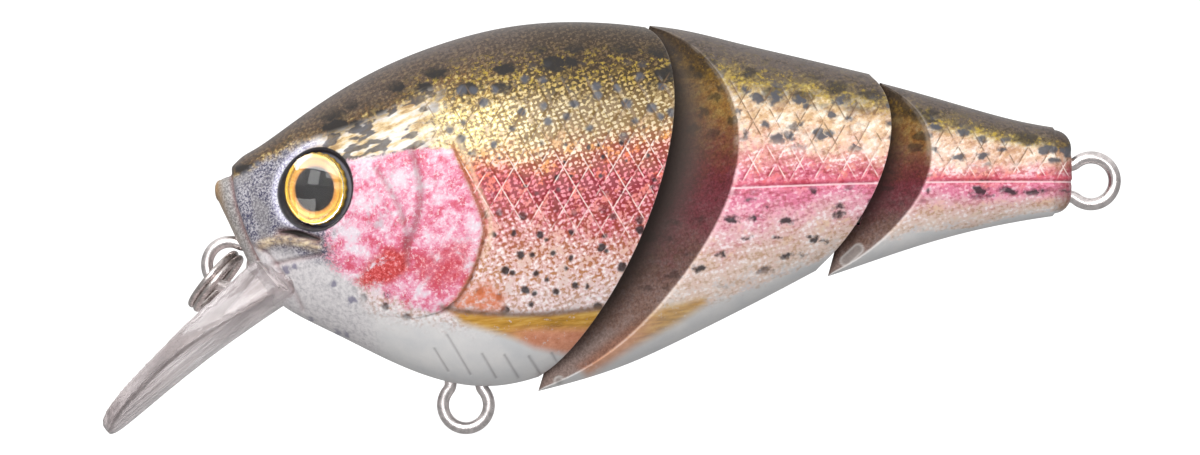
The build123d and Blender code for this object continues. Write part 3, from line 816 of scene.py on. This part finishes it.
def body_paint(kind):
    net = Net("trout_paint_" + kind)
    head = kind == "head"
    band, along, wall = net.mask("band"), net.mask("lay_a"), net.mask("wall")
    drift, fine_drift = net.noise(2.4, 3) - 0.5, net.noise(0.45, 2) - 0.5
    p = band + drift * (0.2 if head else 0.3) + fine_drift * (0.16 if head else 0.26)
    place = p.line(0.5, 0.5)
    net.colour, light, dark, third = (
        place.ramp(*PAINTS["head" if head else "rear"][tone]) for tone in ("base", "light", "dark", "third"))

    # fine print in slanting rows of dots, broken up by grain; darker mesh toward the rear of the head
    dots = dot_rows(net)
    grain = net.noise(0.4, 3, 0.65)
    if head:
        rear = along.step(21, 33) * band.step(-0.25, 0)
        blend = dots * (rear * 0.28 + 0.36) + (grain - 0.5) * 2.3
        net.paint((rear * 0.26 - 0.04 - blend).step(-0.14, 0.11) * 0.95, dark)
        net.paint(blend.step(0.18, 0.42) * 0.9, light)
        warm = net.noise(1.0, 3, 0.6, net.stretched(0.6, turn=-0.9, shift=(0.11, 0.42, 0.37)))
    else:
        streak = net.noise(0.9, 4, 0.7, net.stretched(0.35, 1.0, 1.1, turn=-0.12))
        blend = dots * 0.3 + (grain - 0.5) * 1.6 + (streak - 0.5) * 2.2
        net.paint(blend.step(0.02, -0.26) * 0.8, dark)
        net.paint(blend.step(0.12, 0.46) * 0.85, light)
        warm = net.noise(0.9, 3, 0.6, net.stretched(0.5, turn=-0.6, shift=(0.11, 0.42, 0.37)))
    net.paint(warm.step(0.52, 0.6) * grain.step(0.42, 0.54) * 0.85, third)
    if head:
        net.paint(along.step(22, 35) * band.step(0.18, 0.4) * 0.95, net.colour.times((0.6, 0.54, 0.42)))
    else:
        cream = net.noise(0.9, 4, 0.7, net.stretched(0.6, turn=-0.5)).ramp(
            (40, 50, 24, 17), (50, 78, 52, 43), (61, 94, 88, 86))
        net.paint(band.zone(0.12, 0.4, 0.72, 0.52) * (0.46 if kind == "mid" else 0.68), cream)

    # airbrushed grain on the back, ragged dark blotches and gold flecks along its lower edge
    speckle = net.noise(0.2, 2, 0.75)
    net.paint(speckle.step(0.52, 0.7) * band.step(0.66, 0.84) * 0.5, (0.2, 0.135, 0.085))
    flecks = net.noise(0.5, 3, 0.7).step(0.53, 0.64) * band.zone(0.56, 0.68, 0.9, 0.74)
    net.paint((flecks * along.step(15, 20) if head else flecks) * 0.8, (0.42, 0.29, 0.045))
    plain = 1 - wall * 0.25
    blotch = spots(net, 1.9, 0.16, 0.3, 0.75, 0.1, 0.55, 3.0, 0.9) * band.zone(0.54, 0.66, 0.92, 0.8)
    net.paint(blotch * plain * (0.97 if head else 0.7), (0.022, 0.019, 0.018))
    # painted shade on the rounded end of the tail
    if kind == "tail":
        net.paint(along.step(77.2, 79) * 0.6, net.colour.times((0.34, 0.22, 0.16)))
    for shape, zone, strength, tone in SPOTS[kind]:
        net.paint(spots(net, *shape) * band.zone(*zone) * plain * strength, tone)

    net.paint(p.step(-0.6, -0.76), net.noise(3.2, 4, 0.6).ramp((30, 60, 60, 61), (70, 72, 70, 69)))  # belly
    if kind != "tail":  # pectoral fin
        gold = net.noise(0.8, 3, 0.6, net.stretched(0.22, 1.0, 1.6, turn=-0.08)).ramp(
            (30, 30, 15, 2), (50, 54, 28, 4.5), (68, 66, 42, 11))
        rust = net.noise(0.7, 4, 0.7).ramp((30, 52, 19, 10), (70, 72, 33, 21))
        worn = net.noise(0.6, 3, 0.7).step(0.2, 0.42)
        net.paint(net.mask("fin") * worn, net.mix(net.mask("fin_rust"), gold, rust))
    if head:
        head_paint(net, p)
        net.paint(net.mask("blush") * net.noise(0.5, 4, 0.7).step(0.3, 0.56) * 0.85, (0.66, 0.17, 0.06))
        net.paint(net.mask("fin_line") * 0.8, (0.15, 0.085, 0.055))

    # scale cuts: brown in the gold; in the pink a pale painted highlight along them
    cut = scale_cut(net, kind)
    shown = net.mask("scales") * net.noise(1.0, 3, 0.6).step(0.38, 0.54)
    # painted highlight along the scale cuts in the pink
    net.paint(cut.step(0.08, 0.035) * shown * band.step(0.34, 0.2) * 0.66, (0.98, 0.82, 0.76))
    brown = cut.step(0.09, 0.04) * shown * band.step(0.2, 0.34) * 0.72
    net.paint(brown, (0.16, 0.095, 0.05))
    if not head:
        sag = along - LATERAL_FROM
        above = net.mask("lay_b") - along.line(LATERAL_RISE, LATERAL_HEIGHT - LATERAL_FROM * LATERAL_RISE)
        above = above + sag * sag * LATERAL_SAG
        skin = wall.step(0.8, 0.1)
        net.paint(net.math("ABSOLUTE", above).step(0.13, 0.04) * skin * 0.7, (1.0, 0.72, 0.74))
        net.paint(above.zone(0.05, 0.25, 0.75, 0.35) * skin * 0.45, (0.62, 0.06, 0.1))

    # hinge walls: the same print, browned and darkened as painted shade, greyed lower down by a painted
    # reflection, darker in random patches, and near black as painted shade the deeper it goes
    sheen_grey = net.mix(0.45, net.colour, (0.42, 0.3, 0.27))
    wall_sheen = net.mix(wall * band.step(0.55, 0.1), net.colour, sheen_grey)
    net.paint(wall, wall_sheen.times(place.ramp(
        (10, 52, 42, 38), (30, 28, 21, 20), (50, 28, 10, 12.5), (62, 30, 16, 10), (75, 38, 27, 8.5),
        (90, 58, 46, 29))))
    wall_mottle = net.noise(0.22, 3, 0.75).ramp((34, 45, 43, 42), (66, 100, 100, 100))
    net.paint(wall * 0.85, net.colour.times(wall_mottle))
    net.paint(net.mask("deep_shade") * 0.9, (0.085, 0.07, 0.062))
    # painted highlight along the shoulder edges, broken up by noise
    rim_highlight_tone = place.ramp(
        (0, 62, 58, 55), (35, 70, 56, 50), (50, 90, 70, 70), (66, 52, 42, 32), (85, 26, 21, 17))
    net.paint(net.mask("rim_highlight") * net.noise(1.5, 3, 0.7).step(0.35, 0.6) * 0.45, rim_highlight_tone)
    net.paint(net.mask("pin_end") * 0.6, (0.26, 0.24, 0.23))
    net.paint(net.mask("pin_edge") * 0.55, (0.62, 0.6, 0.58))

    net.bump(speckle * 0.4 + grain * 0.6, 0.22, 0.00005)
    return net.set(Base_Color=net.colour, Roughness=net.noise(1.2, 3).line(0.16, 0.26) + wall * 0.25,
                   Coat_Weight=0.14 - wall * 0.12, Coat_Roughness=0.08, Specular_IOR_Level=0.2)


def head_paint(net, p):
    """Snout, chin, streaks, cheek, gill edge, mouth and eye socket, with painted shade in the creases, the
    mouth slit and the socket.
    """
    dust = net.noise(0.2, 2, 0.8)
    snout = dust.ramp((38, 4, 3.6, 9), (48, 16, 15.5, 19), (60, 45, 43, 46.5))
    snout = net.mix(net.noise(2.4, 3).step(0.45, 0.62) * 0.5, snout, (0.27, 0.255, 0.25))
    chin = net.noise(0.4, 4, 0.75).ramp((34, 44, 42, 44), (52, 64, 61, 62), (70, 74, 71, 71))
    chin = net.mix(spots(net, 1.6, 0.08, 0.2, 0.35, 0.12, 1.0, 2.2, 1.0) * 0.7, chin, (0.12, 0.11, 0.2))
    net.paint(net.mask("snout") * p.step(0.74, 0.5), net.mix(net.mask("chin"), snout, chin))

    dash, wash = (net.noise(*args, net.stretched(x, 0.6, 1.2, turn=-0.38))
                  for args, x in (((1.1, 2, 0.55), 0.45), ((0.8, 4, 0.65), 0.35)))
    streaks = wash.ramp((34, 40, 25, 12), (44, 72, 54, 30), (53, 76, 68, 60), (64, 86, 83, 80))
    streaks = net.mix(dash.step(0.51, 0.58) * 0.9, streaks, (0.06, 0.06, 0.075))
    net.paint(net.mask("streak") * 0.95, streaks)

    cloud = net.noise(1.7, 6, 0.72, net.stretched(0.75, turn=-0.5))
    cheek = cloud.ramp((38, 72, 62, 68), (45, 78, 46, 56), (51, 72, 24, 36), (60, 60, 9, 15))
    flecks = net.noise(0.32, 3, 0.75)
    cheek = net.mix(flecks.step(0.52, 0.64) * 0.55, cheek, (0.96, 0.84, 0.89))
    grey = net.noise(1.8, 4, 0.65, net.stretched(z=0.6, shift=(0.01, 0.02, 0.03)))
    cheek = net.mix(grey.step(0.58, 0.72) * 0.7, cheek, (0.5, 0.46, 0.5))
    red = flecks.ramp((36, 36, 3, 3), (55, 62, 8, 8), (68, 84, 32, 34))
    cheek = net.mix(net.mask("red") * cloud.step(0.34, 0.46), cheek, red)
    uneven = net.noise(0.9, 5, 0.75) - 0.5 + (dust - 0.5)
    net.paint((net.mask("cheek") + uneven).step(0.3, 0.8), cheek)

    net.paint(net.mask("lid") * 0.95, dust.ramp((34, 24, 22, 36), (50, 58, 56, 70), (62, 88, 87, 94)))
    net.paint(net.mask("gill_rim") * 0.8, (0.4, 0.12, 0.04))
    net.paint(net.mask("gill_glint") * 0.5, (0.88, 0.7, 0.5))
    jaw = net.noise(0.5, 4, 0.7, net.stretched(0.5, 1.0, 1.4)).ramp(
        (36, 16, 12, 9), (50, 52, 38, 24), (64, 86, 70, 44))
    net.paint(net.mask("jaw") * 0.75, jaw)
    nose = dust.ramp((38, 20, 19, 19), (52, 33, 31, 30), (62, 50, 48, 46))
    nose = net.mix(net.mask("nose_stripe") * 0.8, nose, (0.34, 0.19, 0.055))
    net.paint(net.mask("nose_band") * 0.9, nose)
    # painted shade along the moulded creases
    net.paint(net.mask("crease") * 0.55, (0.22, 0.08, 0.08))
    # painted shade filling the moulded mouth slit
    net.paint(net.mask("mouth"), (0.02, 0.016, 0.014))
    net.paint(net.mask("engraved") * 0.6, (0.28, 0.26, 0.27))
    # painted shade round the eye: near black in the sunken gap, dark grey under the rim of the eye
    socket = net.mask("socket")
    socket_shade = socket.ramp((0, 3, 2.6, 3), (55, 2.8, 2.5, 3), (85, 16, 15.5, 18), (100, 20, 19.5, 22))
    net.paint(socket.step(0, 0.22), socket_shade)


def steel(name, tone, rough):
    """Bright wire with darker streaks. The tone is in hundredths, and rough is its least roughness."""
    net = Net(name)
    streaked = [STREAK * part for part in tone]
    colour = net.noise(0.6, 3, 0.6, net.stretched()).ramp((35, *streaked), (60, *tone))
    net.bump(net.noise(0.3, 2, 0.6), 0.1, 0.00002)
    return net.set(Base_Color=colour, Roughness=net.noise(0.25, 2).line(0.22, rough), Metallic=1.0)


def clear_lip():
    net = Net("clear_polycarbonate")
    turn = math.radians(-40)
    # streaks along the lip: in its colour a painted reflection of the curved underside; also its bump and
    # roughness
    flow_and_sheen_streaks = net.noise(1.3, 3, 0.6, net.stretched(0.07, turn=turn))
    tint = flow_and_sheen_streaks.ramp((38, 46, 42, 42), (50, 68, 63, 63.5), (62, 90, 86, 86))
    # darker at both ends: at the tip a deeper tint, at the root painted shade for the dark head seen through
    # the plastic
    x = net.axis(net.coords, "X")
    ends = net.math("MAXIMUM", x.step(0.001, -0.014), x.step(-0.003, 0.004))
    colour = net.mix(ends * 0.85, tint, tint.times((0.66, 0.61, 0.61)))
    clouds = net.noise(3.5, 3, 0.6, net.stretched(0.5, turn=turn, shift=(0.02, 0.0, 0.01)))
    colour = net.mix(clouds.step(0.46, 0.62) * 0.5, colour, (0.62, 0.54, 0.53))
    net.bump(flow_and_sheen_streaks, 0.35, 0.00012)
    return net.set(Base_Color=colour, Roughness=flow_and_sheen_streaks.line(0.12, 0.03), Transmission_Weight=0.86, IOR=1.48)


def eye_lens():
    net = Net("eye_lens")
    tint = net.noise(3.0, 2).ramp((30, 98, 97, 95), (70, 100, 100, 100))
    return net.set(Base_Color=tint, Roughness=net.noise(1.5, 2).line(0.02, 0.005), Transmission_Weight=1.0,
                   IOR=1.36)


def plastic_tab():
    net = Net("hinge_tab_plastic")
    colour = net.noise(0.7, 3).ramp((30, 16, 13, 11), (70, 24, 20, 17))
    net.bump(net.noise(0.2, 3), 0.2, 0.00003)
    return net.set(Base_Color=colour, Roughness=net.noise(0.5, 3).line(0.2, 0.35))


def eye_paint(side):
    """Foil iris: rings by distance from its centre, fine rays and flecks."""
    net = Net("eye_foil_" + ("left" if side < 0 else "right"))
    x, y, z = eye_place(*FOIL_CENTRE, 0)
    shift = net.add("ShaderNodeVectorMath", operation="SUBTRACT")
    net.put(shift.inputs[0], net.coords)
    shift.inputs[1].default_value = (x * MM, -side * y * MM, z * MM)
    across = net.add("ShaderNodeVectorMath", operation="DOT_PRODUCT")
    net.put(across.inputs[0], Wire(net, shift.outputs[0]))
    across.inputs[1].default_value = (math.cos(EYE_TURN), side * math.sin(EYE_TURN), 0)
    u, v = Wire(net, across.outputs["Value"]), net.axis(Wire(net, shift.outputs[0]), "Z")
    share = net.math("SQRT", u * u + v * v) * (1 / (MM * FOIL_RADIUS)) + (net.noise(0.5, 3, 0.6) - 0.5) * 0.045
    rays = net.math("SINE", net.math("ARCTAN2", v, u) * FOIL_RAYS)
    net.colour = share.ramp(
        (0, 0.4, 0.4, 0.45), (59, 0.5, 0.45, 0.45), (61, 16, 6, 1.5), (68, 28, 12.5, 1.6), (77, 35, 17, 1.8),
        (81.5, 9, 3.5, 0.4), (85, 26, 14, 1), (90, 40, 25, 2.2), (96, 37, 22, 3))
    net.paint(rays.step(0.2, 1) * share.zone(0.58, 0.66, 0.86, 0.78) * 0.3, (0.38, 0.22, 0.09))
    foil = net.noise(0.28, 3, 0.7)
    net.paint(foil.step(0.52, 0.66) * share.step(0.58, 0.62) * 0.4, (0.46, 0.35, 0.13))
    net.bump(rays * 0.15 + foil, 0.35, 0.00004)
    return net.set(Base_Color=net.colour, Metallic=share.step(0.59, 0.62) * 0.2, Roughness=0.34,
                   Specular_IOR_Level=0.15)


# ---- lip and eyes
FOIL_CENTRE = (-0.24, 0.06)
FOIL_RADIUS = 3.36
# Radius and height above the eye plane, from the axis out and back to it.
FOIL_PROFILE = [(0, -0.36), (1, -0.36), (1.85, -0.37), (2, -0.42), (2.3, -0.44), (2.6, -0.4), (2.72, -0.34),
                (2.84, -0.3), (3.05, -0.28), (3.24, -0.31), (3.33, -0.38), (3.36, -0.48), (3.34, -0.66),
                (3.24, -0.74), (2, -0.76), (0, -0.76)]
LENS_PROFILE = [(0, 0.62), (0.45, 0.607), (0.9, 0.568), (1.35, 0.502), (1.8, 0.408), (2.2, 0.297),
                (2.55, 0.175), (2.85, 0.05), (3.1, -0.07), (3.24, -0.15), (3.28, -0.2), (3.24, -0.24),
                (3, -0.25), (1.5, -0.25), (0, -0.25)]
SCALLOPS, SCALLOP_DEPTH = 26, 0.05
TURNED_SIDES = 208
LIP_VOXEL, LIP_SMOOTHINGS = 0.00022, 14


def moulded(name, source, voxel, passes):
    """A smooth copy of a CAD solid with softened edges."""
    obj = shown_object(name, NODES[source].data.copy())
    change = obj.modifiers.new("grain", "REMESH")
    change.mode = "VOXEL"
    change.voxel_size = voxel
    change = obj.modifiers.new("soften", "SMOOTH")
    change.iterations = passes
    change.factor = 0.5
    mesh = bpy.data.meshes.new_from_object(obj.evaluated_get(bpy.context.evaluated_depsgraph_get()))
    obj.modifiers.clear()
    obj.data = mesh
    mesh.materials.clear()
    smooth(mesh)
    return obj


def eye_turned(name, profile, side, scallop=0.0):
    """A closed solid turned about the axis of the eye, with a scalloped rim if wanted."""
    verts, faces, rings = [], [], []
    for radius, out in profile:
        if radius == 0:
            rings.append([len(verts)] * TURNED_SIDES)
            verts.append(eye_place(*FOIL_CENTRE, out))
            continue
        rings.append(range(len(verts), len(verts) + TURNED_SIDES))
        for turn in np.arange(TURNED_SIDES) * 2 * math.pi / TURNED_SIDES:
            reach = radius + scallop * math.cos(SCALLOPS * turn) * max(0.0, (radius - 2.7) / 0.6)
            verts.append(eye_place(FOIL_CENTRE[0] + reach * math.cos(turn),
                                   FOIL_CENTRE[1] + reach * math.sin(turn), out))
    for near, far in zip(rings[:-1], rings[1:]):
        for k in range(TURNED_SIDES):
            after = (k + 1) % TURNED_SIDES
            faces.append(list(dict.fromkeys((near[k], near[after], far[after], far[k]))))
    mesh = new_mesh(name, [(x * MM, -side * y * MM, z * MM) for x, y, z in verts], faces)
    with editing(mesh) as bm:
        bmesh.ops.recalc_face_normals(bm, faces=bm.faces)
    smooth(mesh)
    return shown_object(name, mesh)


# ---- build: section, body, front and rear walls, rows, skin columns, wall columns
SECTIONS = [
    ("head", "head", None, HEAD_GROOVE, 380, 330, 34),
    ("mid", "middle", MID_WEDGE, MID_GROOVE, 330, 130, 110),
    ("tail", "tail", TAIL_WEDGE, None, 220, 150, 60),
]
DENSITY = 1.0
for kind, body, front, rear, rows, skin_columns, wall_columns in SECTIONS:
    grid, masks = shaped_half(kind, front, rear, int(rows * DENSITY), int(skin_columns * DENSITY), wall_columns)
    paint = body_paint(kind)
    for side, word in SIDES:
        piece = half_mesh(f"{kind}_skin_{word}", grid, masks, side)
        if kind in TAB_SLOTS:
            cut_slots(piece, slot_cutter(*TAB_SLOTS[kind]))
        piece.data.materials.clear()
        piece.data.materials.append(paint)
        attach(piece, body)
        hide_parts(f"{kind}_shell_{word}")

DRESS = [
    (steel("wire_steel", (80, 74, 73), 0.2), ["line_tie_wire", "belly_hanger_wire", "tail_hanger_wire"]),
    (steel("ring_steel", (62, 56, 54), 0.18), ["split_ring"]),
    (steel("pin_steel", (55, 54, 53), 0.2), ["front_hinge_pin", "rear_hinge_pin"]),
    (steel("ballast_steel", (45, 45, 46), 0.25), ["head_ballast_front", "head_ballast_rear", "mid_ballast"]),
    (plastic_tab(), [f"{end}_hinge_tab_{place}" for end in ("front", "rear") for place in ("upper", "lower")]),
]
for material, names in DRESS:
    for name in names:
        NODES[name].data.materials.clear()
        NODES[name].data.materials.append(material)

lip = moulded("diving_lip_moulding", "diving_lip", LIP_VOXEL, LIP_SMOOTHINGS)
lip.data.materials.append(clear_lip())
lip.visible_shadow = False
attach(lip, "head")
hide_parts("diving_lip")
LENS = eye_lens()
EYES = bpy.data.collections.new("eyes")
for side, word in SIDES:
    foil = eye_turned(f"{word}_eye_foil", FOIL_PROFILE, side, SCALLOP_DEPTH)
    foil.data.materials.append(eye_paint(side))
    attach(foil, "head")
    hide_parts(f"{word}_eye_disc")
    lens = eye_turned(f"{word}_eye_lens", LENS_PROFILE, side)
    lens.data.materials.append(LENS)
    lens.visible_shadow = False
    EYES.objects.link(lens)
    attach(lens, "head")
    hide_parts(f"{word}_eye_dome")


# ---- floor, light, camera
def sweep(depth, height, width, bend):
    """A floor that curves up into a back wall."""
    floor = CAD_BOX[0][2]
    profile = [(-0.9, 0)]
    for turn in np.linspace(0, math.pi / 2, 13):
        profile.append((depth - bend + bend * math.sin(turn), bend - bend * math.cos(turn)))
    profile.append((depth, height))
    verts = [(x, y, floor + z) for y, z in profile for x in (-width, width)]
    faces = [(k, k + 1, k + 3, k + 2) for k in range(0, len(verts) - 2, 2)]
    mesh = new_mesh("studio_sweep", verts, faces)
    smooth(mesh)
    net = Net("studio_paper")
    tone = net.noise(40, 2).ramp((30, 42, 42, 42), (70, 44, 44, 44))
    mesh.materials.append(net.set(
        Base_Color=tone, Roughness=0.9, Emission_Color=(1, 1, 1), Emission_Strength=0.84))
    obj = shown_object("studio_sweep", mesh)
    obj.visible_diffuse = False
    obj.visible_glossy = False
    return obj


sweep(1.2, 1.6, 2.0, 0.5)

# Share of the way from below to above, and how bright it is there.
SKY = [(0.0, 0.46), (0.5, 0.4), (0.66, 0.44), (0.8, 0.95), (1.0, 1.0)]
world = bpy.data.worlds.new("studio")
bpy.context.scene.world = world
world.use_nodes = True
tree = world.node_tree
direction, split, height, sky = (tree.nodes.new("ShaderNode" + kind)
                                 for kind in ("TexCoord", "SeparateXYZ", "Math", "ValToRGB"))
height.operation = "MULTIPLY_ADD"
height.inputs[1].default_value = height.inputs[2].default_value = 0.5
while len(sky.color_ramp.elements) < len(SKY):
    sky.color_ramp.elements.new(0.5)
for element, (place, bright) in zip(sky.color_ramp.elements, SKY):
    element.position = place
    element.color = (bright, bright, bright, 1)
tree.links.new(direction.outputs["Generated"], split.inputs[0])
tree.links.new(split.outputs["Z"], height.inputs[0])
tree.links.new(height.outputs[0], sky.inputs[0])
tree.links.new(sky.outputs[0], tree.nodes["Background"].inputs["Color"])


def soft_box(name, place, size, power, aim=(0.037, 0.0, 0.004), receivers=None):
    light = bpy.data.lights.new(name, "AREA")
    light.shape = "RECTANGLE"
    light.size, light.size_y = size
    light.energy = power
    obj = shown_object(name, light)
    obj.location = place
    obj.rotation_mode = "QUATERNION"
    obj.rotation_quaternion = (Vector(aim) - Vector(place)).to_track_quat("-Z", "Y")
    obj.light_linking.receiver_collection = receivers


soft_box("front_box", (-0.1, -0.5, 0.3), (0.4, 0.3), 2.3)
soft_box("low_box", (0.05, -0.5, 0.05), (0.4, 0.1), 0.7)
for side, _ in SIDES:
    aim = (0.009, side * 0.006, 0.007)
    soft_box("eye_box", (-0.25, side * 0.23, 0.305), (0.8, 0.26), 10.0, aim, EYES)
    soft_box("window", (-0.36, side * 0.3, 0.13), (0.14, 0.15), 0.4, aim, EYES)

camera = bpy.data.cameras.new("camera")
camera.sensor_width = 36.0
camera.lens = camera.sensor_width * SIDE_DISTANCE / VIEW_WIDTH
camera.clip_start, camera.clip_end = 0.005, 20.0
view = shown_object("camera", camera)
away = Vector((math.sin(SIDE_TURN), -math.cos(SIDE_TURN), 0))
view.location = Vector((SIDE_TARGET[0], 0, SIDE_TARGET[1])) * MM + away * SIDE_DISTANCE * MM
view.rotation_mode = "QUATERNION"
view.rotation_quaternion = (-away).to_track_quat("-Z", "Y")
bpy.context.scene.camera = view
bpy.context.scene.view_settings.view_transform = "Standard"
